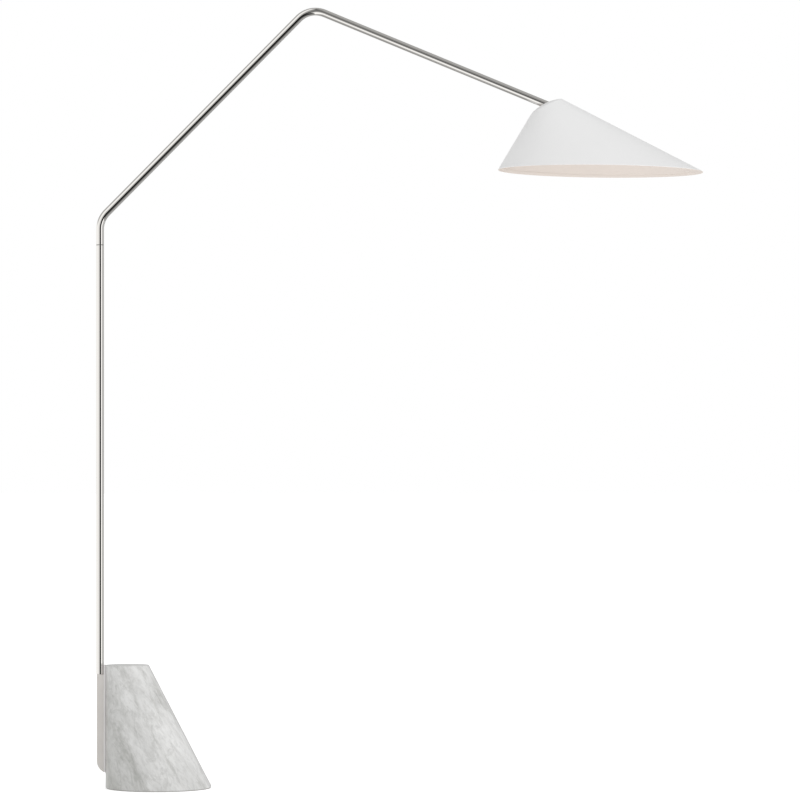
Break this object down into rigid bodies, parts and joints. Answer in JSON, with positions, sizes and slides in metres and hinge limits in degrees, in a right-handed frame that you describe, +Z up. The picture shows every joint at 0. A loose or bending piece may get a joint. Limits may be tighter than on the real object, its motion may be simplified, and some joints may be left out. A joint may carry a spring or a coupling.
{
  "type": "arc floor lamp",
  "caption": "Free-standing floor lamp: slanted marble cone foot, bent tube arm on a swivel, wide conical shade held at its end by a tilting knuckle.",
  "frame": {"origin": "centre of the round foot pad's underside, on the floor", "axes": "+Z up; +X from the pole towards the shade, in the arm's own plane; +Y across the lamp"},
  "size_m": [1.4821, 0.4556, 1.9048],
  "materials": {
    "marble": "honed pale grey marble with diagonal olive-grey veins",
    "foot_rubber": "matt grey non-slip pad",
    "brass_fittings": "turned brass",
    "satin_nickel": "satin nickel plate",
    "polished_nickel": "polished nickel plate",
    "steel_screws": "zinc-plated steel",
    "bulb_metal": "rolled thread",
    "black_plastic": "fine matt black",
    "lead_sleeve": "smooth insulation",
    "porcelain": "glazed white",
    "frosted_glass": "frosted inside",
    "white_shade": "matt white paint outside, warm white inside"
  },
  "bodies": {
    "base": {"base_pad": "foot_rubber", "marble_base": "marble", "marble_inserts": "brass_fittings", "mounting_plate": "satin_nickel", "pole_bracket": "satin_nickel", "bracket_screws": "steel_screws", "cord_bushing": "black_plastic", "pole_nipple": "brass_fittings", "pole_end_insert": "brass_fittings", "lower_pole": "polished_nickel", "swivel_spigot": "brass_fittings", "swivel_washer": "black_plastic", "pole_lead": "lead_sleeve"},
    "arm": {"arm_tube": "polished_nickel", "arm_sleeve": "brass_fittings", "guide_screw": "steel_screws", "arm_end_fork": "polished_nickel", "friction_washers": "black_plastic", "knuckle_screws": "steel_screws", "arm_lead": "lead_sleeve"},
    "head": {"tilt_tongue": "polished_nickel", "shade_bridge": "satin_nickel", "holder_nipple": "brass_fittings", "nipple_locknut": "brass_fittings", "lampholder_cap": "polished_nickel", "switch_body": "black_plastic", "lampholder_body": "porcelain", "thread_shell": "brass_fittings", "centre_contact": "brass_fittings", "bulb_cap": "bulb_metal", "bulb_glass": "frosted_glass", "shade": "white_shade", "head_lead": "lead_sleeve"},
    "knob": {"switch_knob": "black_plastic"}
  },
  "joints": [
    {"name": "arm_swivel", "type": "hinge", "parent": "base", "child": "arm", "pos_m": [-0.1429, 0, 1.3254], "axis": [0, 0, 1], "range_deg": [-90, 90]},
    {"name": "shade_tilt", "type": "hinge", "parent": "arm", "child": "head", "pos_m": [0.969, 0, 1.65892], "axis": [0, 1, 0], "range_deg": [-15, 15]},
    {"name": "switch_turn", "type": "hinge", "parent": "head", "child": "knob", "pos_m": [0.984, 0, 1.63294], "axis": [0, -1, 0], "continuous": true}
  ]
}
